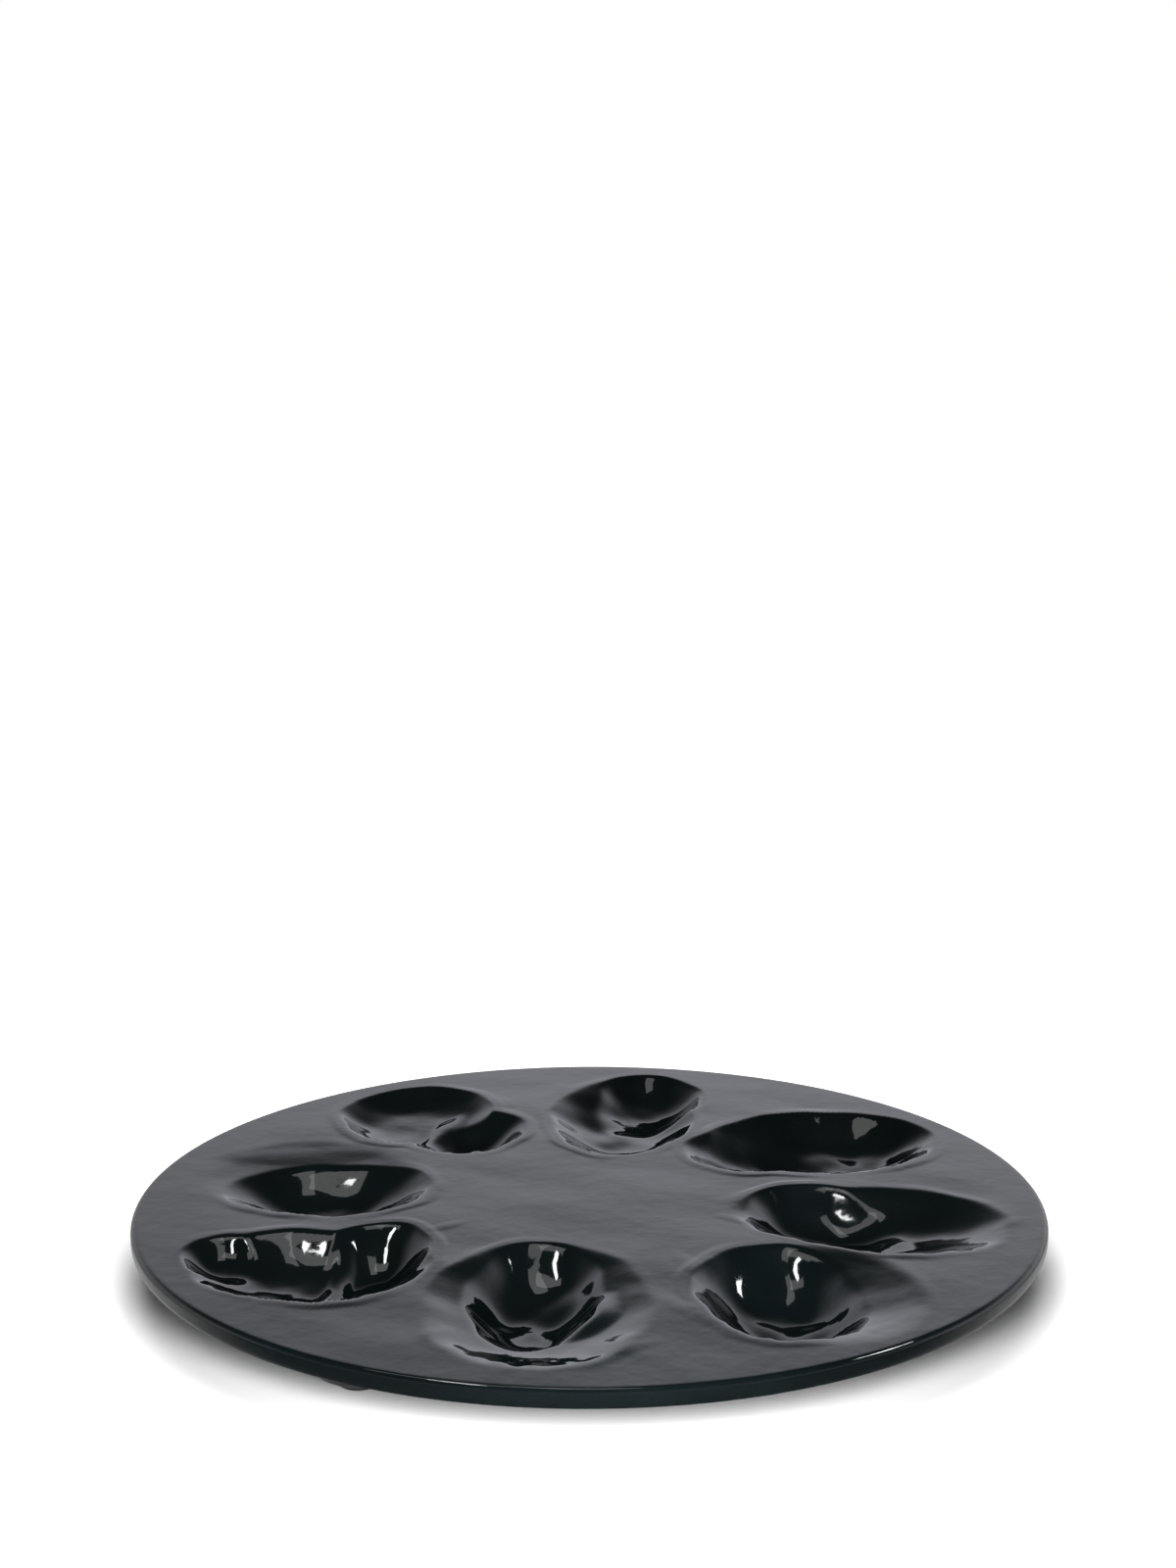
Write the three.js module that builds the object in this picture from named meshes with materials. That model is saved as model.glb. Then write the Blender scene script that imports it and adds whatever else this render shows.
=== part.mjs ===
// Oyster plate: a round slab of glazed stoneware with eight shell-shaped wells pressed into it.
// The clay is one fired piece and stands on four feet between the wells, with a soft pad under each.
// Millimetres, +Z up. The origin is on the table, under the middle of the plate.
import * as THREE from "three";

// The slab.
const PLATE_DIAMETER = 330;
const RIM_THICKNESS = 7.2;
const UPPER_ROUNDING = 2;
const LOWER_ROUNDING = 3;

// The two roundings of the rim together leave at least this share of its thickness straight.
const STRAIGHT_SHARE = 0.1;

// How high the floor of the deepest well is over the ends of the feet.
// The outside of a well reaches past its inside by the spread.
const FLOOR_HEIGHT = 8;
const WALL_SPREAD = 3;

// How softly dishes and feet run together, and the sideways waver of hand-pressed edges.
const DISH_BLEND = 3;
const EDGE_WAVER = 0.8;
const EDGE_WAVER_LENGTH = 46;
const EDGE_WAVER_PHASE = 1;

// The narrow end of a tapered dish keeps at least this share of its width.
const LEAST_WIDTH_SHARE = 0.2;

// The foot pads. Each sticks to the flat end of a clay foot that flares into the underside.
const PAD_DIAMETER = 14;
const PAD_HEIGHT = 2;
const PAD_CHAMFER = 0.5;
const FOOT_MARGIN = 1;
const FOOT_FLARE = 24;

// The feet stand between the wells, at these bearings in degrees, all at one inset from the rim.
const FOOT_INSET = 40;
const FOOT_BEARINGS = { back_right: 53, back_left: 143, front_left: -127, front_right: -39 };

// A well holds one oyster on its half shell, and is sized by the length of that shell.
const SHELL_LENGTH = 100;

// A well is made of dishes, and each dish is an oval press into the clay.
// inset, long, wide and depth are in percent of the shell's length.
// bearing: round the plate in degrees, 0 at the right and 90 at the back.
// inset: from the rim to the middle of the dish. turn: its length against the spoke, in degrees.
// long, wide: half its length and width. taper: how much wider its outer end is, 0 if left out.
// depth: at its middle. fall: how much deeper its inner end is, 0 if left out.
// steep: 2 is a soft bowl, and more gives a flatter floor and a steeper wall.
// lip: 1 is a sharp upper edge, and more gives a softer one.
const WELLS = {
  back: [
    { bearing: 82, inset: 68, long: 49, wide: 29, turn: 4, depth: 9, fall: 0.3, steep: 3, lip: 1.5 },
    { bearing: 79, inset: 43, long: 30, wide: 23, turn: 11, depth: 10, steep: 3.2, lip: 1.25 },
  ],
  back_right: [
    { bearing: 35, inset: 56, long: 47, wide: 36, turn: -25, depth: 12, steep: 3.6, lip: 1.4 },
    { bearing: 38, inset: 74, long: 36, wide: 29, turn: -23, depth: 10.5, steep: 2.5, lip: 1.6 },
  ],
  right: [
    { bearing: -12, inset: 63, long: 51, wide: 33, turn: -2, taper: 0.15, depth: 9.5, steep: 3, lip: 1.8 },
    { bearing: -9, inset: 79, long: 31, wide: 26, turn: -3, depth: 13, steep: 2.7, lip: 1.5 },
  ],
  front_right: [
    { bearing: -50, inset: 47, long: 43, wide: 37, turn: -35, depth: 4.5, steep: 2.2, lip: 1.8 },
    { bearing: -54, inset: 56, long: 42, wide: 30, turn: -30, depth: 16.5, steep: 2.8, lip: 1.6 },
  ],
  front: [
    { bearing: -100, inset: 66, long: 54, wide: 38, turn: 10, depth: 5.5, steep: 4, lip: 1.8 },
    { bearing: -102, inset: 76, long: 43, wide: 25, turn: 8, taper: -0.15, depth: 15, steep: 3.2, lip: 1.4 },
  ],
  front_left: [
    { bearing: -146, inset: 51, long: 41, wide: 33, turn: -38, depth: 11.3, steep: 3, lip: 1.6 },
    { bearing: -146, inset: 73, long: 27, wide: 21, turn: 36, depth: 13.5, steep: 2.6, lip: 1.5 },
    { bearing: -157, inset: 28, long: 15, wide: 17, turn: -23, depth: 7.5, steep: 2.6, lip: 1.4 },
  ],
  left: [
    { bearing: 166, inset: 56, long: 46, wide: 40, turn: 22, depth: 2.4, steep: 2.2, lip: 1.8 },
    { bearing: 172, inset: 67, long: 40, wide: 31, turn: 3, depth: 13.6, steep: 2.6, lip: 1.7 },
  ],
  back_left: [
    { bearing: 125, inset: 45, long: 36, wide: 31, turn: -35, depth: 7, fall: 0.2, steep: 4.5, lip: 1.3 },
    { bearing: 122, inset: 74, long: 28, wide: 23, turn: -48, depth: 12.5, steep: 2.4, lip: 1.9 },
  ],
};

// Folds are low ridges left standing in the wells, measured like dishes, with the depth as their height.
const FOLDS = [
  { bearing: -91, inset: 65, long: 22, wide: 11, turn: -24, depth: 3, steep: 2, lip: 1.5 },
  { bearing: -149, inset: 64, long: 25, wide: 5, turn: 49, depth: 2.2, steep: 2, lip: 1.5 },
  { bearing: 155, inset: 46, long: 30, wide: 9, turn: 30, depth: 0.3, steep: 2, lip: 1.5 },
  { bearing: 124, inset: 59, long: 28, wide: 7, turn: -51, depth: 1.8, steep: 2, lip: 1.5 },
];

// The fineness of the meshes.
const SEGMENTS = 104;
const TOP_RINGS = 30;
const UNDER_RINGS = 24;
const ROUNDING_STEPS = 4;
const PAD_SEGMENTS = 32;

// The deepest place is looked for at this many steps each way over half the width of a dish.
const SEARCH_STEPS = 8;

const plateRadius = PLATE_DIAMETER / 2;
const percent = SHELL_LENGTH / 100;
const roundable = RIM_THICKNESS * (1 - STRAIGHT_SHARE);
const roundingShare = Math.min(1, roundable / (UPPER_ROUNDING + LOWER_ROUNDING));
const upperRounding = UPPER_ROUNDING * roundingShare;
const lowerRounding = LOWER_ROUNDING * roundingShare;
const landRadius = plateRadius - upperRounding;
const baseRadius = plateRadius - lowerRounding;
const footRadius = PAD_DIAMETER / 2 + FOOT_MARGIN;

// A place on the plate from its bearing and its inset.
function spot(bearing, inset) {
  const angle = THREE.MathUtils.degToRad(bearing);
  const spoke = plateRadius - inset;
  return { x: spoke * Math.cos(angle), y: spoke * Math.sin(angle) };
}

// A dish with its sizes in millimetres, and its middle and its heading worked out on the plate.
function placed(dish) {
  const heading = THREE.MathUtils.degToRad(dish.bearing + dish.turn);
  return {
    taper: 0,
    fall: 0,
    ...dish,
    long: dish.long * percent,
    wide: dish.wide * percent,
    depth: dish.depth * percent,
    ...spot(dish.bearing, dish.inset * percent),
    cos: Math.cos(heading),
    sin: Math.sin(heading),
  };
}

const dishes = Object.values(WELLS).flat().map(placed);
const folds = FOLDS.map(placed);
const feet = Object.entries(FOOT_BEARINGS).map(([name, bearing]) => ({
  name,
  ...spot(bearing, FOOT_INSET),
}));

// How far one dish, widened by spread, lies below the slab at a point.
function dishDepth(dish, x, y, spread) {
  const along = ((x - dish.x) * dish.cos + (y - dish.y) * dish.sin) / (dish.long + spread);
  const halfWidth = (dish.wide + spread) * Math.max(LEAST_WIDTH_SHARE, 1 + dish.taper * along);
  const across = ((y - dish.y) * dish.cos - (x - dish.x) * dish.sin) / halfWidth;
  const reach = Math.min(Math.hypot(along, across), 1);
  return dish.depth * (1 - dish.fall * along) * (1 - reach ** dish.steep) ** dish.lip;
}

// A point after the sideways waver of the pressed edges.
function wavered(x, y) {
  const wave = (2 * Math.PI) / EDGE_WAVER_LENGTH;
  return [
    x + EDGE_WAVER * Math.sin(wave * y),
    y + EDGE_WAVER * Math.sin(wave * x + EDGE_WAVER_PHASE),
  ];
}

// How far all the wells together lie below the slab at a point, before the folds.
function wellDepth(x, y, spread) {
  const [wx, wy] = wavered(x, y);
  let sum = 0;
  for (const dish of dishes) {
    sum += dishDepth(dish, wx, wy, spread) ** DISH_BLEND;
  }
  return sum ** (1 / DISH_BLEND);
}

// How high the folds stand at a point.
function foldHeight(x, y) {
  const [wx, wy] = wavered(x, y);
  let height = 0;
  for (const fold of folds) {
    height += dishDepth(fold, wx, wy, 0);
  }
  return height;
}

// The deepest place of all, which sets the height of the plate.
function deepestWell() {
  let deepest = 0;
  for (const dish of dishes) {
    const step = dish.wide / SEARCH_STEPS;
    for (let i = -SEARCH_STEPS; i <= SEARCH_STEPS; i += 1) {
      for (let j = -SEARCH_STEPS; j <= SEARCH_STEPS; j += 1) {
        deepest = Math.max(deepest, wellDepth(dish.x + i * step, dish.y + j * step, 0));
      }
    }
  }
  return deepest;
}

const topHeight = PAD_HEIGHT + FLOOR_HEIGHT + deepestWell();
const slabHeight = topHeight - RIM_THICKNESS;
const footHeight = slabHeight - PAD_HEIGHT;

function topSurface(x, y) {
  return topHeight - Math.max(0, wellDepth(x, y, 0) - foldHeight(x, y));
}

// The underside follows the wells, and the feet stand down from it.
function underside(x, y) {
  let sum = wellDepth(x, y, WALL_SPREAD) ** DISH_BLEND;
  for (const foot of feet) {
    const away = Math.hypot(x - foot.x, y - foot.y);
    const fade = THREE.MathUtils.smoothstep(away, footRadius, footRadius + FOOT_FLARE);
    sum += (footHeight * (1 - fade)) ** DISH_BLEND;
  }
  return PAD_HEIGHT + Math.max(0, footHeight - sum ** (1 / DISH_BLEND));
}

// Rings of the skin from the middle of the top, over the rim, to the middle of the underside.
function skinRings() {
  const rings = [];
  for (let i = 1; i <= TOP_RINGS; i += 1) {
    rings.push({ radius: (landRadius * i) / TOP_RINGS, height: topSurface });
  }
  for (let i = 1; i <= ROUNDING_STEPS; i += 1) {
    const turn = (Math.PI / 2) * (i / ROUNDING_STEPS);
    const height = topHeight - upperRounding * (1 - Math.cos(turn));
    rings.push({ radius: landRadius + upperRounding * Math.sin(turn), height: () => height });
  }
  for (let i = ROUNDING_STEPS; i >= 1; i -= 1) {
    const turn = (Math.PI / 2) * (i / ROUNDING_STEPS);
    const height = slabHeight + lowerRounding * (1 - Math.cos(turn));
    rings.push({ radius: baseRadius + lowerRounding * Math.sin(turn), height: () => height });
  }
  for (let i = UNDER_RINGS; i >= 1; i -= 1) {
    rings.push({ radius: (baseRadius * i) / UNDER_RINGS, height: underside });
  }
  return rings;
}

// The plate's closed skin as one mesh of rings and spokes.
function plateGeometry() {
  const rings = skinRings();
  const points = [0, 0, topSurface(0, 0)];
  for (const { radius, height } of rings) {
    for (let s = 0; s < SEGMENTS; s += 1) {
      const angle = (2 * Math.PI * s) / SEGMENTS;
      const x = radius * Math.cos(angle);
      const y = radius * Math.sin(angle);
      points.push(x, y, height(x, y));
    }
  }
  points.push(0, 0, underside(0, 0));

  const faces = [];
  const at = (ring, s) => 1 + ring * SEGMENTS + (s % SEGMENTS);
  const bottom = 1 + rings.length * SEGMENTS;
  for (let s = 0; s < SEGMENTS; s += 1) {
    faces.push(0, at(0, s), at(0, s + 1));
    for (let ring = 0; ring + 1 < rings.length; ring += 1) {
      faces.push(at(ring, s), at(ring + 1, s), at(ring + 1, s + 1));
      faces.push(at(ring, s), at(ring + 1, s + 1), at(ring, s + 1));
    }
    faces.push(bottom, at(rings.length - 1, s + 1), at(rings.length - 1, s));
  }

  const geometry = new THREE.BufferGeometry();
  geometry.setAttribute("position", new THREE.Float32BufferAttribute(points, 3));
  geometry.setIndex(faces);
  geometry.computeVertexNormals();
  return geometry;
}

// A round stick-on pad with a chamfered lower edge.
function padGeometry() {
  const radius = PAD_DIAMETER / 2;
  const chamfer = Math.min(PAD_CHAMFER, PAD_HEIGHT / 2);
  const profile = [
    new THREE.Vector2(0, 0),
    new THREE.Vector2(radius - chamfer, 0),
    new THREE.Vector2(radius, chamfer),
    new THREE.Vector2(radius, PAD_HEIGHT),
    new THREE.Vector2(0, PAD_HEIGHT),
  ];
  return new THREE.LatheGeometry(profile, PAD_SEGMENTS).rotateX(Math.PI / 2);
}

function glaze() {
  return new THREE.MeshStandardMaterial({ color: 0x0b1011, roughness: 0.08, metalness: 0 });
}

function padRubber() {
  return new THREE.MeshStandardMaterial({ color: 0x2b2b2d, roughness: 0.75, metalness: 0 });
}

const oysterPlate = new THREE.Group();

const plate = new THREE.Mesh(plateGeometry(), glaze());
plate.name = "plate";
oysterPlate.add(plate);

for (const foot of feet) {
  const pad = new THREE.Mesh(padGeometry(), padRubber());
  pad.name = `foot_pad_${foot.name}`;
  pad.position.set(foot.x, foot.y, 0);
  oysterPlate.add(pad);
}

export default oysterPlate;
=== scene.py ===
"""Looks of a glazed stoneware oyster plate: the pressed clay, its black glaze and its foot pads."""

from __future__ import annotations

import logging
import math
from dataclasses import dataclass, field
from enum import Enum
from typing import ClassVar

import bmesh
import bpy
import numpy as np
from mathutils import Matrix, Vector

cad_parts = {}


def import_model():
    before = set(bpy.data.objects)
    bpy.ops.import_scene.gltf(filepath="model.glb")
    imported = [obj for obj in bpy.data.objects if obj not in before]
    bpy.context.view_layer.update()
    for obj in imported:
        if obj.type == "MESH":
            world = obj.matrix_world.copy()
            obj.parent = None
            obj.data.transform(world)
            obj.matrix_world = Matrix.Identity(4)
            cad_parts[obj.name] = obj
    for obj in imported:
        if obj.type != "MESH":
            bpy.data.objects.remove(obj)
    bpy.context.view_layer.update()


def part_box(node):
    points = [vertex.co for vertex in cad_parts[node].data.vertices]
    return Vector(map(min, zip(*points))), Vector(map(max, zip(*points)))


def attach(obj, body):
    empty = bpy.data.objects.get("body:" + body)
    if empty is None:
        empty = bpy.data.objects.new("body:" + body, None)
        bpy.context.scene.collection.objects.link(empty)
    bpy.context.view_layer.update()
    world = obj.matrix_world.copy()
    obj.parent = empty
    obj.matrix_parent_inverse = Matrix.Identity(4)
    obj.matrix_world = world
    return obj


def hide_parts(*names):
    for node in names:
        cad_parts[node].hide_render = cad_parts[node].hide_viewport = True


log = logging.getLogger("oyster_plate")

Colour = tuple[float, float, float]
Span = tuple[float, float]

MM = 0.001
ROOT_BODY = "root"
RIDGE_STEEP = 2
RIDGE_LIP = 1.5
ROUND_PROFILE = 0.5


class Slot(Enum):
    """Material slots of the record."""

    GLAZE = "glaze"
    PAD = "pad"


class PadPlace(Enum):
    """The pads of the frame, one under each foot of the plate."""

    BACK_RIGHT = "foot_pad_back_right"
    FRONT_RIGHT = "foot_pad_front_right"
    FRONT_LEFT = "foot_pad_front_left"
    BACK_LEFT = "foot_pad_back_left"


@dataclass(frozen=True)
class Dish:
    """One oval press of a well into the clay, in millimetres and degrees.

    The bearing runs round the plate from the right, 90 at the back. The inset runs from the rim to
    the middle of the dish, and the turn is against the spoke. long and wide are half sizes. steep
    flattens the floor and steepens the wall, and lip softens the edge. taper widens the outer end,
    and fall deepens the inner one.
    """

    LEAST_WIDTH: ClassVar[float] = 0.2

    bearing: float
    inset: float
    long: float
    wide: float
    turn: float
    depth: float
    steep: float
    lip: float
    taper: float = 0.0
    fall: float = 0.0

    def middle(self, radius: float) -> tuple[float, float]:
        """Finds the middle of the dish.

        Args:
            radius: Radius of the plate, in millimetres.

        Returns:
            Its place to the right and to the back, in millimetres.
        """
        spoke = radius - self.inset
        bearing = math.radians(self.bearing)
        return spoke * math.cos(bearing), spoke * math.sin(bearing)

    def depth_at(self, x: np.ndarray, y: np.ndarray, radius: float, spread: float) -> np.ndarray:
        """How far the dish lies below the slab.

        Args:
            x: Places to the right, in millimetres.
            y: Places to the back, in millimetres.
            radius: Radius of the plate, in millimetres.
            spread: How much wider the dish is taken than it is, in millimetres.

        Returns:
            Depths in millimetres, 0 outside the dish.
        """
        middle_x, middle_y = self.middle(radius)
        heading = math.radians(self.bearing + self.turn)
        cos, sin = math.cos(heading), math.sin(heading)
        along = ((x - middle_x) * cos + (y - middle_y) * sin) / (self.long + spread)
        half_width = (self.wide + spread) * np.maximum(self.LEAST_WIDTH, 1 + self.taper * along)
        across = ((y - middle_y) * cos - (x - middle_x) * sin) / half_width
        reach = np.minimum(np.hypot(along, across), 1.0)
        return self.depth * (1 - self.fall * along) * (1 - reach**self.steep) ** self.lip


def ridge(
    bearing: float, inset: float, long: float, wide: float, turn: float, height: float
) -> Dish:
    """One soft ridge, which stands up from the clay and is measured like a dish."""
    return Dish(bearing, inset, long, wide, turn, height, RIDGE_STEEP, RIDGE_LIP)


@dataclass(frozen=True)
class Ripple:
    """One wave of the clay, in millimetres, degrees and, for its phase, radians."""

    height: float
    length: float
    heading: float
    phase: float

    def height_at(self, x: np.ndarray, y: np.ndarray) -> np.ndarray:
        """How high the wave stands.

        Args:
            x: Places to the right, in millimetres.
            y: Places to the back, in millimetres.

        Returns:
            Heights in millimetres.
        """
        heading = math.radians(self.heading)
        along = x * math.cos(heading) + y * math.sin(heading)
        return self.height * np.sin(2 * math.pi * along / self.length + self.phase)


def wave_height(waves: tuple[Ripple, ...], x: np.ndarray, y: np.ndarray) -> np.ndarray:
    """How high several waves stand together, in millimetres."""
    return sum(wave.height_at(x, y) for wave in waves)


def smooth_rise(value: np.ndarray, start: float, end: float) -> np.ndarray:
    """Smooth rise from 0 where the value is start to 1 where it is end."""
    share = np.clip((value - start) / (end - start), 0, 1)
    return share * share * (3 - 2 * share)


def grey(level: float) -> Colour:
    """Grey of one level."""
    return level, level, level


def new_mesh_object(name: str, shape: bmesh.types.BMesh) -> bpy.types.Object:
    """Turns a bmesh into a smooth mesh object at the origin.

    Args:
        name: Name of the new object.
        shape: The shape, which is freed.

    Returns:
        The object, linked to the scene.
    """
    mesh = bpy.data.meshes.new(name)
    shape.to_mesh(mesh)
    shape.free()
    mesh.shade_smooth()
    piece = bpy.data.objects.new(name, mesh)
    bpy.context.scene.collection.objects.link(piece)
    return piece


class NodeTree:
    """Short way to add and join the nodes of one tree.

    A Mix node has sockets of each data type under the same names, so its colours go by number.
    """

    COLOUR_INPUTS: ClassVar[tuple[int, int]] = (6, 7)
    COLOUR_OUTPUT: ClassVar[int] = 2

    def __init__(self, tree: bpy.types.NodeTree) -> None:
        """Empties the tree and keeps it."""
        self.tree = tree
        tree.nodes.clear()

    def add(self, kind: str, **values: object) -> bpy.types.Node:
        """Adds a node and sets its properties or its inputs by name.

        Args:
            kind: Type name of the node.
            values: Properties of the node, or inputs with _ for spaces.

        Returns:
            The new node.
        """
        node = self.tree.nodes.new(kind)
        for key, value in values.items():
            if hasattr(node, key):
                setattr(node, key, value)
            else:
                node.inputs[key.replace("_", " ")].default_value = value
        return node

    def join(self, source: bpy.types.NodeSocket, target: bpy.types.NodeSocket) -> None:
        """Links an output to an input."""
        self.tree.links.new(source, target)

    def end(self, kind: str, shader: bpy.types.Node) -> None:
        """Adds an output node of that kind and links the shader to it."""
        self.join(shader.outputs[0], self.add(kind).inputs["Surface"])

    def axes(self, place: bpy.types.NodeSocket) -> tuple[bpy.types.NodeSocket, ...]:
        """Splits a place or a direction into its parts.

        Args:
            place: The output to split.

        Returns:
            The X, Y and Z outputs.
        """
        node = self.add("ShaderNodeSeparateXYZ")
        self.join(place, node.inputs[0])
        return tuple(node.outputs)

    def maths(self, operation: str, *terms: object) -> bpy.types.NodeSocket:
        """Adds a Math node.

        Args:
            operation: What the node does.
            terms: Numbers or outputs.

        Returns:
            The output of the node.
        """
        node = self.add("ShaderNodeMath", operation=operation)
        for socket, term in zip(node.inputs, terms):
            if isinstance(term, bpy.types.NodeSocket):
                self.join(term, socket)
            else:
                socket.default_value = term
        return node.outputs[0]

    def fade(
        self, value: bpy.types.NodeSocket, start: float, end: float, low: float = 0.0
    ) -> bpy.types.NodeSocket:
        """Adds a smooth rise to 1.

        Args:
            value: The output that drives it.
            start: Value at which the rise starts.
            end: Value at which it is done.
            low: Result before the rise.

        Returns:
            The output of the node.
        """
        node = self.add("ShaderNodeMapRange", interpolation_type="SMOOTHSTEP")
        self.join(value, node.inputs["Value"])
        node.inputs["From Min"].default_value = start
        node.inputs["From Max"].default_value = end
        node.inputs["To Min"].default_value = low
        return node.outputs["Result"]

    def mix(
        self, share: bpy.types.NodeSocket, low: object, high: object
    ) -> bpy.types.NodeSocket:
        """Adds a mix of two colours.

        Args:
            share: Share of the second colour.
            low: First colour, or an output.
            high: Second colour, or an output.

        Returns:
            The mixed colour.
        """
        node = self.add("ShaderNodeMix", data_type="RGBA")
        self.join(share, node.inputs["Factor"])
        for place, colour in zip(self.COLOUR_INPUTS, (low, high)):
            if isinstance(colour, bpy.types.NodeSocket):
                self.join(colour, node.inputs[place])
            else:
                node.inputs[place].default_value = (*colour, 1.0)
        return node.outputs[self.COLOUR_OUTPUT]


def new_material(name: str) -> tuple[bpy.types.Material, NodeTree]:
    """Makes a material with no nodes.

    Args:
        name: Name of the material.

    Returns:
        The material and its node tree.
    """
    made = bpy.data.materials.new(name)
    made.use_nodes = True
    return made, NodeTree(made.node_tree)


class MottleGroup:
    """Shader group of soft noise that clouds a finish, used by the glaze and by the pads."""

    NAME: ClassVar[str] = "soft_mottle"
    DETAIL: ClassVar[float] = 4.0
    ROUGHNESS: ClassVar[float] = 0.55
    NOISE_LOW: ClassVar[float] = 0.3
    NOISE_HIGH: ClassVar[float] = 0.7

    @classmethod
    def get(cls) -> bpy.types.ShaderNodeTree:
        """Builds the group once.

        Returns:
            The group, the same at each call.
        """
        if cls.NAME in bpy.data.node_groups:
            return bpy.data.node_groups[cls.NAME]
        group = bpy.data.node_groups.new(cls.NAME, "ShaderNodeTree")
        sockets = group.interface
        sockets.new_socket("Vector", in_out="INPUT", socket_type="NodeSocketVector")
        for name in ("Scale", "Low", "High"):
            sockets.new_socket(name, in_out="INPUT", socket_type="NodeSocketFloat")
        sockets.new_socket("Value", in_out="OUTPUT", socket_type="NodeSocketFloat")
        nodes = NodeTree(group)
        inward = nodes.add("NodeGroupInput")
        outward = nodes.add("NodeGroupOutput")
        noise = nodes.add("ShaderNodeTexNoise", Detail=cls.DETAIL, Roughness=cls.ROUGHNESS)
        spread = nodes.add("ShaderNodeMapRange")
        spread.inputs["From Min"].default_value = cls.NOISE_LOW
        spread.inputs["From Max"].default_value = cls.NOISE_HIGH
        nodes.join(inward.outputs["Vector"], noise.inputs["Vector"])
        nodes.join(inward.outputs["Scale"], noise.inputs["Scale"])
        nodes.join(noise.outputs[0], spread.inputs["Value"])
        nodes.join(inward.outputs["Low"], spread.inputs["To Min"])
        nodes.join(inward.outputs["High"], spread.inputs["To Max"])
        nodes.join(spread.outputs["Result"], outward.inputs["Value"])
        return group


def mottle(
    nodes: NodeTree, place: bpy.types.NodeSocket, scale: float, low: float, high: float
) -> bpy.types.NodeSocket:
    """Adds the mottle group to a material.

    Args:
        nodes: Nodes of the material.
        place: Coordinates of the pattern.
        scale: Clouds per metre.
        low: Lowest value.
        high: Highest value.

    Returns:
        The output value.
    """
    node = nodes.add("ShaderNodeGroup", node_tree=MottleGroup.get())
    nodes.join(place, node.inputs["Vector"])
    node.inputs["Scale"].default_value = scale
    node.inputs["Low"].default_value = low
    node.inputs["High"].default_value = high
    return node.outputs["Value"]


@dataclass(frozen=True)
class BlackGlaze:
    """Glossy black glaze with a cool green cast, wiped off the ends of the feet to dark clay.

    The clay starts to show at bare_start above the ends and is bare at bare_full.
    """

    name: str = "black_glaze"
    black: Colour = (0.0012, 0.002, 0.0021)
    cast: Colour = (0.0022, 0.0042, 0.0046)
    bare_clay: Colour = (0.075, 0.058, 0.047)
    ior: float = 1.5
    cloud_scale: float = 22.0
    gloss: Span = (0.03, 0.075)
    clay_roughness: float = 0.8
    swell_scale: float = 55.0
    swell_detail: float = 3.0
    swell_roughness: float = 0.5
    swell_strength: float = 1.0
    swell_height: float = 0.26 * MM
    bare_start: float = 0.5 * MM
    bare_full: float = 0.1 * MM

    def material(self, foot_level: float) -> bpy.types.Material:
        """Builds the material.

        Args:
            foot_level: Height of the wiped ends of the feet, in metres.

        Returns:
            The new material.
        """
        made, nodes = new_material(self.name)
        place = nodes.add("ShaderNodeTexCoord").outputs["Object"]
        height = nodes.axes(place)[-1]
        bare = nodes.fade(height, foot_level + self.bare_start, foot_level + self.bare_full)
        cloud = mottle(nodes, place, self.cloud_scale, 0.0, 1.0)
        glazed = nodes.mix(cloud, self.black, self.cast)
        shader = nodes.add("ShaderNodeBsdfPrincipled", IOR=self.ior)
        nodes.join(nodes.mix(bare, glazed, self.bare_clay), shader.inputs["Base Color"])
        gloss = mottle(nodes, place, self.cloud_scale, *self.gloss)
        rough = nodes.maths("MULTIPLY_ADD", bare, self.clay_roughness, gloss)
        nodes.join(rough, shader.inputs["Roughness"])
        swell = nodes.add(
            "ShaderNodeTexNoise",
            Scale=self.swell_scale,
            Detail=self.swell_detail,
            Roughness=self.swell_roughness,
        )
        nodes.join(place, swell.inputs["Vector"])
        bump = nodes.add(
            "ShaderNodeBump", Strength=self.swell_strength, Distance=self.swell_height
        )
        nodes.join(swell.outputs[0], bump.inputs["Height"])
        nodes.join(bump.outputs[0], shader.inputs["Normal"])
        nodes.end("ShaderNodeOutputMaterial", shader)
        return made


@dataclass(frozen=True)
class PadRubber:
    """Matte dark grey rubber of the foot pads, a little dusty."""

    name: str = "pad_rubber"
    dark: Colour = (0.018, 0.018, 0.02)
    dusty: Colour = (0.05, 0.05, 0.052)
    ior: float = 1.45
    cloud_scale: float = 260.0
    roughness: Span = (0.6, 0.85)
    grain_scale: float = 2600.0
    grain_detail: float = 2.0
    grain_strength: float = 0.4
    grain_height: float = 0.06 * MM

    def material(self) -> bpy.types.Material:
        """Builds the material.

        Returns:
            The new material.
        """
        made, nodes = new_material(self.name)
        place = nodes.add("ShaderNodeTexCoord").outputs["Object"]
        cloud = mottle(nodes, place, self.cloud_scale, 0.0, 1.0)
        shader = nodes.add("ShaderNodeBsdfPrincipled", IOR=self.ior)
        nodes.join(nodes.mix(cloud, self.dark, self.dusty), shader.inputs["Base Color"])
        rough = mottle(nodes, place, self.cloud_scale, *self.roughness)
        nodes.join(rough, shader.inputs["Roughness"])
        grain = nodes.add("ShaderNodeTexNoise", Scale=self.grain_scale, Detail=self.grain_detail)
        nodes.join(place, grain.inputs["Vector"])
        bump = nodes.add(
            "ShaderNodeBump", Strength=self.grain_strength, Distance=self.grain_height
        )
        nodes.join(grain.outputs[0], bump.inputs["Height"])
        nodes.join(bump.outputs[0], shader.inputs["Normal"])
        nodes.end("ShaderNodeOutputMaterial", shader)
        return made


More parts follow.
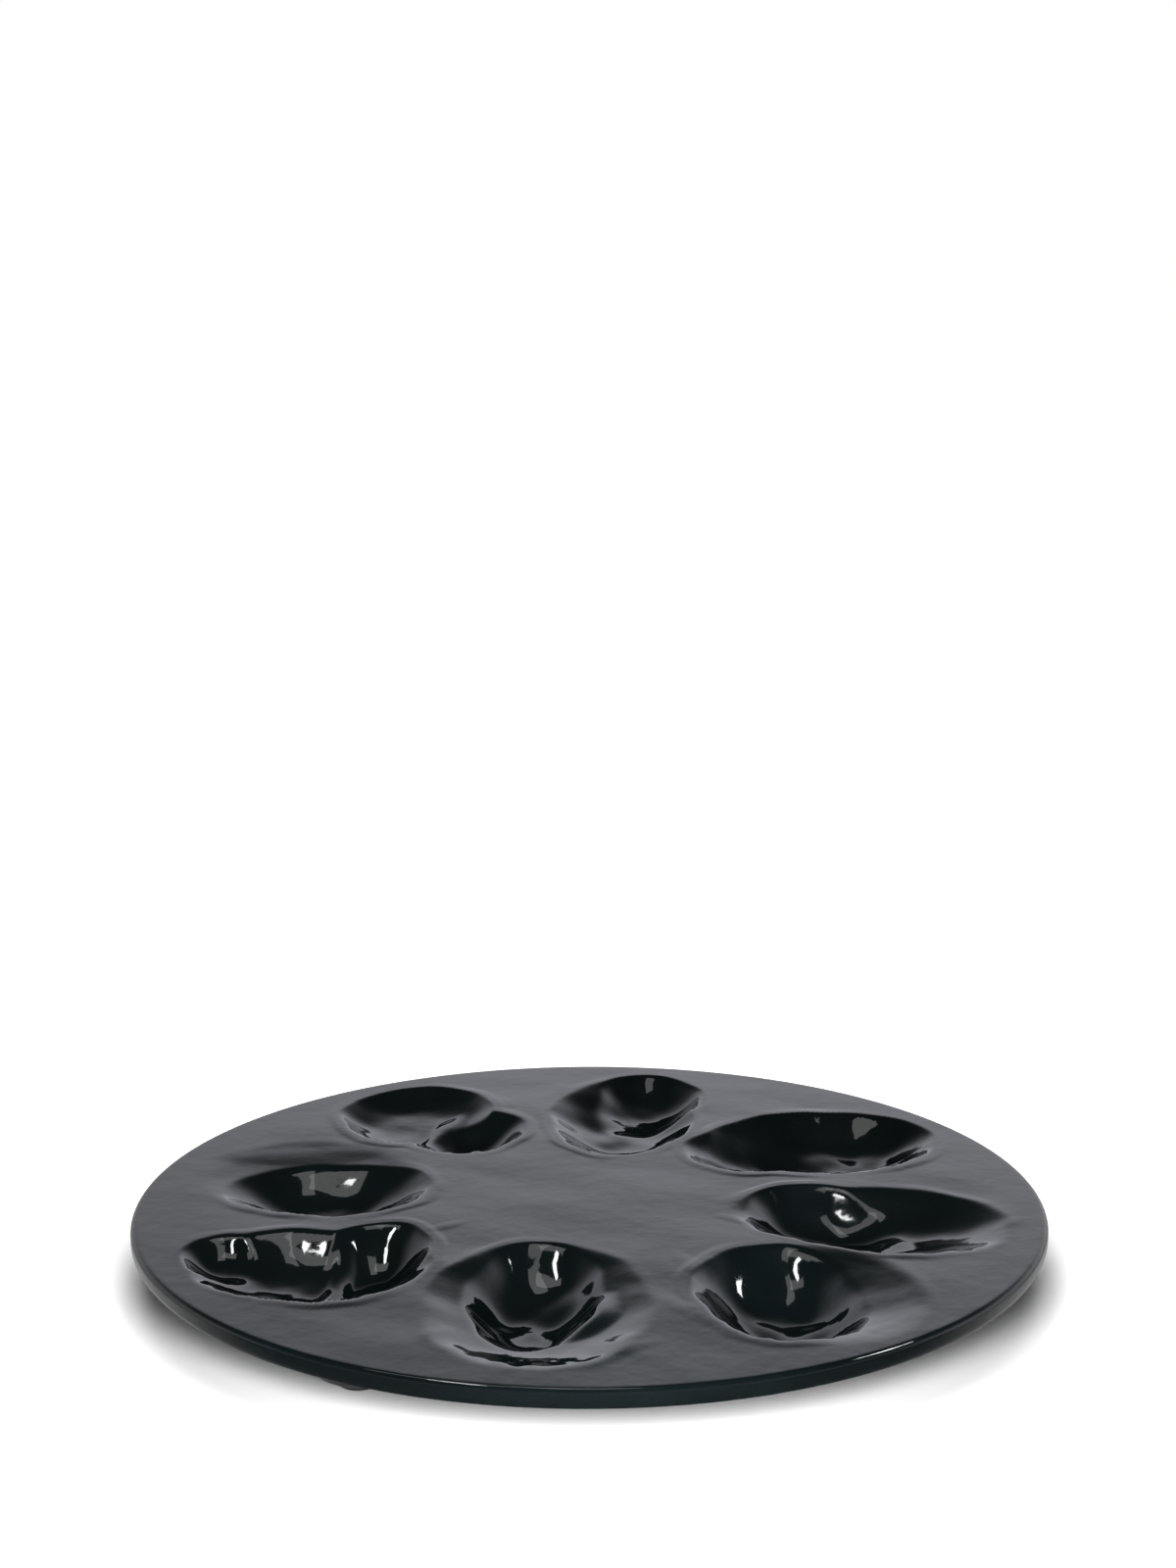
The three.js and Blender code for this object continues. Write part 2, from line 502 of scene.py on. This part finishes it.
@dataclass
class Plate:
    """The pressed and glazed slab. Sizes are in millimetres.

    Each well is two or three dishes that run softly together. Folds stand up inside the wells and
    creases beside them. Ripples wave the slab, dents the walls of the wells and crinkles their
    front lips. A waver is how far the edges sway sideways and how long a sway is. The crinkles
    come and go between the depths of crinkle_start and of crinkle_end.
    """

    node: str = "plate"
    rim_thickness: float = 7.2
    upper_rounding: float = 2.0
    lower_rounding: float = 3.0
    wall_spread: float = 3.0
    dish_blend: float = 3.0
    wavers: tuple[tuple[float, float], ...] = ((0.8, 46.0), (0.3, 19.0))
    waver_phase: float = 1.0
    foot_margin: float = 1.0
    foot_flare: float = 24.0
    spokes: int = 540
    hub_radius: float = 42.0
    hub_rings: int = 8
    well_rings: int = 112
    under_rings: int = 42
    rounding_steps: int = 8
    wells: tuple[tuple[Dish, ...], ...] = (
        # Back
        (
            Dish(82, 68, 49, 29, 4, 9, 3, 1.5, 0.0, 0.3),
            Dish(79, 43, 30, 23, 11, 10, 3.2, 1.25),
        ),
        # Back right
        (
            Dish(35, 56, 47, 36, -25, 12, 3.6, 1.4),
            Dish(38, 74, 36, 29, -23, 10.5, 2.5, 1.6),
        ),
        # Right
        (
            Dish(-12, 63, 51, 33, -2, 9.5, 3, 1.8, 0.15),
            Dish(-9, 79, 31, 26, -3, 13, 2.7, 1.5),
        ),
        # Front right
        (
            Dish(-50, 47, 43, 37, -35, 4.5, 2.2, 1.8),
            Dish(-54, 56, 42, 30, -30, 16.5, 2.8, 1.6),
        ),
        # Front
        (
            Dish(-100, 66, 54, 38, 10, 5.5, 4, 1.8),
            Dish(-102, 76, 43, 25, 8, 15, 3.2, 1.4, -0.15),
        ),
        # Front left
        (
            Dish(-146, 51, 41, 33, -38, 11.3, 3, 1.6),
            Dish(-146, 73, 27, 21, 36, 13.5, 2.6, 1.5),
            Dish(-157, 28, 15, 17, -23, 7.5, 2.6, 1.4),
        ),
        # Left
        (
            Dish(166, 56, 46, 40, 22, 2.4, 2.2, 1.8),
            Dish(172, 67, 40, 31, 3, 13.6, 2.6, 1.7),
        ),
        # Back left
        (
            Dish(125, 45, 36, 31, -35, 7, 4.5, 1.3, 0.0, 0.2),
            Dish(122, 74, 28, 23, -48, 12.5, 2.4, 1.9),
        ),
    )
    folds: tuple[Dish, ...] = (
        ridge(-91, 65, 22, 11, -24, 3),
        ridge(-149, 64, 25, 5, 49, 2.2),
        ridge(155, 46, 30, 9, 30, 0.3),
        ridge(124, 59, 28, 7, -51, 1.8),
    )
    creases: tuple[Dish, ...] = (
        ridge(-83, 83, 15, 5, 31, 0.16),
        ridge(-84, 31, 11, 4, -63, 0.12),
        ridge(-74, 58, 18, 5, 18, 0.14),
        ridge(-63, 91, 14, 5, -2, 0.14),
        ridge(-51, 17, 12, 4, -88, 0.1),
        ridge(-112, 36, 13, 4, -8, 0.14),
        ridge(54, 85, 12, 5, -8, 0.14),
        ridge(3, 108, 15, 5, 33, 0.14),
        ridge(-22, 108, 11, 4, -10, 0.14),
        ridge(-10, 14, 9, 4, 52, 0.12),
        ridge(-143, 17, 12, 4, -67, 0.12),
        ridge(-151, 107, 10, 4, 10, 0.12),
        ridge(-172, 59, 16, 5, 4, 0.14),
        ridge(107, 44, 13, 4, 9, 0.12),
        ridge(96, 35, 14, 5, -31, 0.12),
    )
    ripples: tuple[Ripple, ...] = (
        Ripple(0.10, 74, 20, 0.4),
        Ripple(0.08, 57, 105, 1.9),
        Ripple(0.05, 33, 62, 4.1),
    )
    dents: tuple[Ripple, ...] = (
        Ripple(0.38, 33, 15, 0.3),
        Ripple(0.27, 23, 78, 2.2),
        Ripple(0.12, 15, 140, 5.0),
        Ripple(0.04, 10, 40, 1.1),
    )
    dent_depth: float = 15.0
    crinkles: tuple[Ripple, ...] = (
        Ripple(0.36, 12.5, 8, 0.7),
        Ripple(0.28, 8.9, 158, 2.9),
        Ripple(0.15, 6.4, 40, 1.3),
    )
    crinkle_start: Span = (0.02, 0.4)
    crinkle_end: Span = (1.0, 3.2)
    crinkle_slope: float = 0.6
    slope_probe: float = 1.0
    lip_rise: float = 0.15
    lip_width: float = 6.0
    lip_depth: float = 1.0
    lip_swell: Ripple = Ripple(1.0, 62, 25, 1.0)
    calm_width: float = 30.0
    reach_slack: float = 0.01
    merge_gap: float = 0.001
    radius: float = field(init=False)
    top_height: float = field(init=False)
    foot_level: float = field(init=False)

    def __post_init__(self) -> None:
        """Takes the overall sizes from the frame."""
        low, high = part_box(self.node)
        self.radius = (high.x - low.x) / 2 / MM
        self.top_height = high.z / MM
        self.foot_level = low.z / MM

    def wavered(self, x: np.ndarray, y: np.ndarray) -> tuple[np.ndarray, np.ndarray]:
        """Sways places sideways, as the edges of the hand-pressed wells do.

        Args:
            x: Places to the right, in millimetres.
            y: Places to the back, in millimetres.

        Returns:
            The swayed places to the right and to the back, in millimetres.
        """
        wavered_x, wavered_y = x, y
        for sway, length in self.wavers:
            wave = 2 * math.pi / length
            wavered_x = wavered_x + sway * np.sin(wave * y)
            wavered_y = wavered_y + sway * np.sin(wave * x + self.waver_phase)
        return wavered_x, wavered_y

    def well_depth(self, x: np.ndarray, y: np.ndarray, spread: float) -> np.ndarray:
        """How far all the wells lie below the slab before the folds.

        Args:
            x: Places to the right, in millimetres.
            y: Places to the back, in millimetres.
            spread: How much wider the wells are taken than they are, in millimetres.

        Returns:
            Depths in millimetres.
        """
        places = self.wavered(x, y)
        dishes = [dish for well in self.wells for dish in well]
        depths = [dish.depth_at(*places, self.radius, spread) for dish in dishes]
        return self.blend(depths)

    def blend(self, depths: list[np.ndarray]) -> np.ndarray:
        """Runs several depths softly together."""
        return sum(depth**self.dish_blend for depth in depths) ** (1 / self.dish_blend)

    def ridge_height(self, ridges: tuple[Dish, ...], x: np.ndarray, y: np.ndarray) -> np.ndarray:
        """How high several ridges stand together, in millimetres."""
        places = self.wavered(x, y)
        return sum(mark.depth_at(*places, self.radius, 0.0) for mark in ridges)

    def profile(self) -> list[tuple[float, float]]:
        """Half outline of the slab from the middle of its top to the middle of its underside.

        Returns:
            Points as radius and height, in millimetres.
        """
        land = self.radius - self.upper_rounding
        base = self.radius - self.lower_rounding
        slab = self.top_height - self.rim_thickness
        hub = [self.hub_radius * i / self.hub_rings for i in range(self.hub_rings)]
        step = (land - self.hub_radius) / self.well_rings
        rings = hub + [self.hub_radius + step * i for i in range(self.well_rings + 1)]
        top = [(radius, self.top_height) for radius in rings]
        upper, lower = [], []
        for i in range(1, self.rounding_steps + 1):
            turn = math.pi / 2 * i / self.rounding_steps
            out, rise = math.sin(turn), 1 - math.cos(turn)
            fallen = self.top_height - self.upper_rounding * rise
            upper.append((land + self.upper_rounding * out, fallen))
            lower.append((base + self.lower_rounding * out, slab + self.lower_rounding * rise))
        under = [(base * i / self.under_rings, slab) for i in range(self.under_rings, -1, -1)]
        return top + upper + lower[::-1] + under

    def spin_slab(self) -> bmesh.types.BMesh:
        """Turns the half outline into a plain round slab.

        Returns:
            The closed slab, in metres.
        """
        shape = bmesh.new()
        line = [shape.verts.new((r * MM, 0, z * MM)) for r, z in self.profile()]
        edges = [shape.edges.new(pair) for pair in zip(line, line[1:])]
        bmesh.ops.spin(
            shape,
            geom=line + edges,
            cent=(0, 0, 0),
            axis=(0, 0, 1),
            angle=2 * math.pi,
            steps=self.spokes,
            use_merge=True,
        )
        bmesh.ops.remove_doubles(shape, verts=shape.verts[:], dist=self.merge_gap * MM)
        bmesh.ops.recalc_face_normals(shape, faces=shape.faces[:])
        return shape

    def top_change(self, x: np.ndarray, y: np.ndarray) -> np.ndarray:
        """How the pressed top differs from the flat slab.

        Args:
            x: Places to the right, in millimetres.
            y: Places to the back, in millimetres.

        Returns:
            Heights above the slab in millimetres, which are below 0 in the wells.
        """
        folds = self.ridge_height(self.folds, x, y)
        depth = np.maximum(self.well_depth(x, y, 0.0) - folds, 0.0)
        around = smooth_rise(self.well_depth(x, y, self.lip_width), 0, self.lip_depth)
        swell = 1 + self.lip_swell.height_at(x, y)
        lip = self.lip_rise * swell * around * (1 - smooth_rise(depth, 0, self.lip_depth))
        inward = self.radius - self.upper_rounding - np.hypot(x, y)
        calm = smooth_rise(inward, 0, self.calm_width)
        land = calm * (wave_height(self.ripples, x, y) + lip)
        marks = self.ridge_height(self.creases, x, y) + self.crinkle_height(x, y, depth)
        dents = wave_height(self.dents, x, y) * smooth_rise(depth, 0, self.dent_depth)
        return land + marks - depth + dents

    def crinkle_height(self, x: np.ndarray, y: np.ndarray, depth: np.ndarray) -> np.ndarray:
        """How high the crinkles of the wells' front lips stand.

        Args:
            x: Places to the right, in millimetres.
            y: Places to the back, in millimetres.
            depth: Depths of the wells there, in millimetres.

        Returns:
            Heights in millimetres, 0 away from the front lips.
        """
        behind = self.well_depth(x, y + self.slope_probe, 0.0)
        before = self.well_depth(x, y - self.slope_probe, 0.0)
        slope = (behind - before) / (2 * self.slope_probe)
        begun = smooth_rise(depth, *self.crinkle_start)
        ended = smooth_rise(depth, *self.crinkle_end)
        facing = smooth_rise(slope, 0, self.crinkle_slope)
        return wave_height(self.crinkles, x, y) * begun * (1 - ended) * facing

    def under_drop(self, x: np.ndarray, y: np.ndarray, pads: list[FootPad]) -> np.ndarray:
        """How far the underside hangs below the slab at the wells and at the feet.

        Args:
            x: Places to the right, in millimetres.
            y: Places to the back, in millimetres.
            pads: The pads, each under its foot.

        Returns:
            Depths in millimetres.
        """
        full = self.top_height - self.rim_thickness - self.foot_level
        drops = [self.well_depth(x, y, self.wall_spread)]
        for pad in pads:
            middle = pad.middle() / MM
            end = pad.radius() / MM + self.foot_margin
            away = np.hypot(x - middle.x, y - middle.y)
            drops.append(full * (1 - smooth_rise(away, end, end + self.foot_flare)))
        return np.minimum(self.blend(drops), full)

    def press(self, piece: bpy.types.Object, pads: list[FootPad]) -> None:
        """Presses the wells into the slab and lets the underside follow.

        Args:
            piece: The round slab.
            pads: The pads, each under its foot.
        """
        mesh = piece.data
        places = np.empty(len(mesh.vertices) * 3, np.float32)
        mesh.vertices.foreach_get("co", places)
        x, y, z = places.reshape(-1, 3).astype(float).T / MM
        inward = self.radius + self.reach_slack - np.hypot(x, y)
        middle = self.top_height - self.rim_thickness / 2
        top = (inward >= self.upper_rounding) & (z > middle)
        under = (inward >= self.lower_rounding) & (z < middle)
        z[top] += self.top_change(x[top], y[top])
        z[under] -= self.under_drop(x[under], y[under], pads)
        pressed = np.stack([x, y, z], -1) * MM
        mesh.vertices.foreach_set("co", pressed.astype(np.float32).ravel())
        mesh.update()

    def build(self, glaze: BlackGlaze, pads: list[FootPad]) -> bpy.types.Object:
        """Builds the plate and dresses it.

        Args:
            glaze: Finish of the plate.
            pads: The pads, each under its foot.

        Returns:
            The finished piece.
        """
        piece = new_mesh_object("glazed_plate", self.spin_slab())
        self.press(piece, pads)
        piece.data.materials.append(glaze.material(self.foot_level * MM))
        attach(piece, ROOT_BODY)
        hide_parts(self.node)
        return piece


@dataclass
class FootPad:
    """One round stick-on pad. Its rounding is in millimetres, and its box in metres."""

    place: PadPlace
    segments: int = 64
    edge_rounding: float = 0.5
    rounding_steps: int = 4
    low: Vector = field(init=False)
    high: Vector = field(init=False)

    def __post_init__(self) -> None:
        """Takes the pad's box from the frame."""
        self.low, self.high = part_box(self.place.value)

    def middle(self) -> Vector:
        """Middle of the pad, in metres."""
        return (self.low + self.high) / 2

    def radius(self) -> float:
        """Radius of the pad, in metres."""
        return (self.high.x - self.low.x) / 2

    def build(self, finish: bpy.types.Material) -> bpy.types.Object:
        """Builds the pad and dresses it.

        Args:
            finish: Material of the pad.

        Returns:
            The finished piece.
        """
        shape = bmesh.new()
        middle = self.middle()
        bmesh.ops.create_cone(
            shape,
            cap_ends=True,
            segments=self.segments,
            radius1=self.radius(),
            radius2=self.radius(),
            depth=self.high.z - self.low.z,
            matrix=Matrix.Translation(middle),
        )
        foot = [e for e in shape.edges if all(vert.co.z < middle.z for vert in e.verts)]
        bmesh.ops.bevel(
            shape,
            geom=foot,
            offset=self.edge_rounding * MM,
            offset_type="OFFSET",
            affect="EDGES",
            segments=self.rounding_steps,
            profile=ROUND_PROFILE,
            material=-1,
        )
        piece = new_mesh_object(self.place.value + "_rubber", shape)
        piece.data.materials.append(finish)
        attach(piece, ROOT_BODY)
        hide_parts(self.place.value)
        return piece


@dataclass(frozen=True)
class WhiteFloor:
    """Matte white floor that keeps the plate's shadow, in metres.

    The camera sees it glow white beyond glow_reach. The gloss of the plate sees it darker, as
    painted
    shade in the reflection: only shares of its white, the first in front of gloss_change and the
    second behind it.
    """

    name: str = "white_floor"
    size: float = 40.0
    white: float = 0.93
    gloss_shares: Span = (0.05, 0.6)
    gloss_change: Span = (-0.15, -0.05)
    glow_reach: Span = (0.164, 0.196)

    def material(self) -> bpy.types.Material:
        """Builds the material.

        Returns:
            The new material.
        """
        made, nodes = new_material(self.name)
        place = nodes.add("ShaderNodeTexCoord").outputs["Object"]
        path = nodes.add("ShaderNodeLightPath")
        back = nodes.axes(place)[1]
        # painted shade: the plate's gloss sees the floor darker than it is, most of all in front
        front, behind = (grey(self.white * share) for share in self.gloss_shares)
        reflected_shade = nodes.mix(nodes.fade(back, *self.gloss_change), front, behind)
        colour = nodes.mix(path.outputs["Is Glossy Ray"], grey(self.white), reflected_shade)
        matte = nodes.add("ShaderNodeBsdfDiffuse")
        nodes.join(colour, matte.inputs["Color"])
        away = nodes.add("ShaderNodeVectorMath", operation="LENGTH")
        nodes.join(place, away.inputs[0])
        far = nodes.fade(away.outputs["Value"], *self.glow_reach)
        glow = nodes.add("ShaderNodeEmission")
        seen = nodes.maths("MULTIPLY", path.outputs["Is Camera Ray"], far)
        nodes.join(seen, glow.inputs["Strength"])
        both = nodes.add("ShaderNodeAddShader")
        nodes.join(matte.outputs[0], both.inputs[0])
        nodes.join(glow.outputs[0], both.inputs[1])
        nodes.end("ShaderNodeOutputMaterial", both)
        return made

    def build(self) -> bpy.types.Object:
        """Lays the floor.

        Returns:
            The floor.
        """
        shape = bmesh.new()
        bmesh.ops.create_grid(shape, x_segments=1, y_segments=1, size=self.size / 2)
        floor = new_mesh_object("floor", shape)
        floor.data.materials.append(self.material())
        return floor


@dataclass(frozen=True)
class Room:
    """The room round the plate, with a pale backdrop behind it and a bright ceiling.

    The camera sees plain white, matte surfaces the room and the ceiling, and gloss the backdrop
    and the dark. An edge is where a change starts and ends, as a part of a direction of length 1.
    """

    name: str = "studio"
    seen: Colour = (1.0, 1.0, 1.0)
    room_light: float = 0.08
    top_light: float = 5.0
    top_edge: Span = (0.9, 0.99)
    dark: float = 0.03
    backdrop: float = 0.87
    backdrop_tint: Colour = (0.955, 0.97, 1.05)
    backdrop_edge: Span = (0.87, 0.30)
    backdrop_fall: float = 3.0
    front_edge: Span = (-0.35, 0.15)
    front_share: float = 0.3
    left_edge: Span = (-0.3, 0.05)
    left_share: float = 0.72

    def build(self) -> None:
        """Makes the world of the scene."""
        world = bpy.data.worlds.new(self.name)
        world.use_nodes = True
        bpy.context.scene.world = world
        nodes = NodeTree(world.node_tree)
        right, back, up = nodes.axes(nodes.add("ShaderNodeTexCoord").outputs["Generated"])
        low = nodes.maths("POWER", nodes.fade(up, *self.backdrop_edge), self.backdrop_fall)
        around = nodes.fade(back, *self.front_edge, self.front_share)
        across = nodes.fade(right, *self.left_edge, self.left_share)
        lit = nodes.maths("MULTIPLY", nodes.maths("MULTIPLY", low, around), across)
        pale = tuple(self.backdrop * share for share in self.backdrop_tint)
        glossy = nodes.mix(lit, grey(self.dark), pale)
        above = nodes.fade(up, *self.top_edge)
        matte = nodes.mix(above, grey(self.room_light), grey(self.top_light))
        path = nodes.add("ShaderNodeLightPath")
        unseen = nodes.mix(path.outputs["Is Glossy Ray"], matte, glossy)
        colour = nodes.mix(path.outputs["Is Camera Ray"], unseen, self.seen)
        sky = nodes.add("ShaderNodeBackground")
        nodes.join(colour, sky.inputs["Color"])
        nodes.end("ShaderNodeOutputWorld", sky)


@dataclass(frozen=True)
class PhotoCamera:
    """The camera of the photograph, in metres and degrees, with lens and sensor in millimetres."""

    name: str = "camera"
    distance: float = 0.9051
    rise: float = 20.03
    pitch: float = 10.407
    roll: float = -0.17
    lens: float = 56.08
    sensor_width: float = 36.0
    view_end: float = 100.0

    def build(self, top_height: float) -> bpy.types.Object:
        """Sets the camera where the photograph was taken from.

        Args:
            top_height: Height of the plate's top face, in metres.

        Returns:
            The camera.
        """
        optics = bpy.data.cameras.new(self.name)
        optics.lens = self.lens
        optics.sensor_width = self.sensor_width
        optics.clip_end = self.view_end
        camera = bpy.data.objects.new(self.name, optics)
        rise = math.radians(self.rise)
        away, above = self.distance * math.cos(rise), self.distance * math.sin(rise)
        camera.location = (0.0, -away, top_height + above)
        tilt = Matrix.Rotation(math.radians(90 - self.pitch), 4, "X")
        roll = Matrix.Rotation(math.radians(self.roll), 4, "Z")
        camera.rotation_euler = (tilt @ roll).to_euler()
        bpy.context.scene.collection.objects.link(camera)
        bpy.context.scene.camera = camera
        return camera


@dataclass(frozen=True)
class Lamp:
    """One rectangular studio lamp, in metres and watts.

    in_gloss says whether gloss mirrors it, and in_matte whether it lights matte surfaces.
    """

    name: str
    place: tuple[float, float, float]
    width: float
    depth: float
    power: float
    aim: tuple[float, float, float] = (0.0, 0.0, 0.0)
    in_gloss: bool = True
    in_matte: bool = True

    def build(self) -> bpy.types.Object:
        """Hangs the lamp.

        Returns:
            The lamp.
        """
        light = bpy.data.lights.new(self.name, "AREA")
        light.shape = "RECTANGLE"
        light.size = self.width
        light.size_y = self.depth
        light.energy = self.power
        lamp = bpy.data.objects.new(self.name, light)
        lamp.location = self.place
        lamp.visible_glossy = self.in_gloss
        lamp.visible_diffuse = self.in_matte
        away = Vector(self.aim) - Vector(self.place)
        lamp.rotation_euler = away.to_track_quat("-Z", "Y").to_euler()
        bpy.context.scene.collection.objects.link(lamp)
        return lamp


@dataclass(frozen=True)
class Studio:
    """The studio of the photograph: its camera, floor, room and lamps."""

    camera: PhotoCamera = PhotoCamera()
    floor: WhiteFloor = WhiteFloor()
    room: Room = Room()
    lamps: tuple[Lamp, ...] = (
        Lamp("softbox_left", (-0.19, 0.04, 0.75), 0.15, 0.34, 0.25),
        Lamp("softbox_right", (-0.01, 0.04, 0.75), 0.15, 0.34, 0.25),
        Lamp("key_left", (-0.235, -0.10, 0.75), 0.17, 0.06, 0.78, in_matte=False),
        Lamp("key_right", (0.58, 0.02, 0.65), 0.16, 0.09, 1.3, in_matte=False),
        Lamp("front_fill", (0.0, -0.41, 0.15), 0.14, 0.08, 3.0, (0.0, -0.05, 0.0), in_gloss=False),
    )

    def build(self, top_height: float) -> None:
        """Builds the whole studio round the plate.

        Args:
            top_height: Height of the plate's top face, in metres.
        """
        bpy.context.scene.view_settings.view_transform = "Standard"
        self.camera.build(top_height)
        self.floor.build()
        self.room.build()
        for lamp in self.lamps:
            lamp.build()


def main() -> None:
    """Loads the frame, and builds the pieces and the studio."""
    logging.basicConfig(level=logging.INFO, format="%(message)s")
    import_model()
    pads = [FootPad(place) for place in PadPlace]
    plate = Plate()
    Studio().build(plate.top_height * MM)
    piece = plate.build(BlackGlaze(), pads)
    log.info("%s: %d vertices", piece.name, len(piece.data.vertices))
    rubber = PadRubber().material()
    for pad in pads:
        log.info("%s", pad.build(rubber).name)


if __name__ == "__main__":
    main()
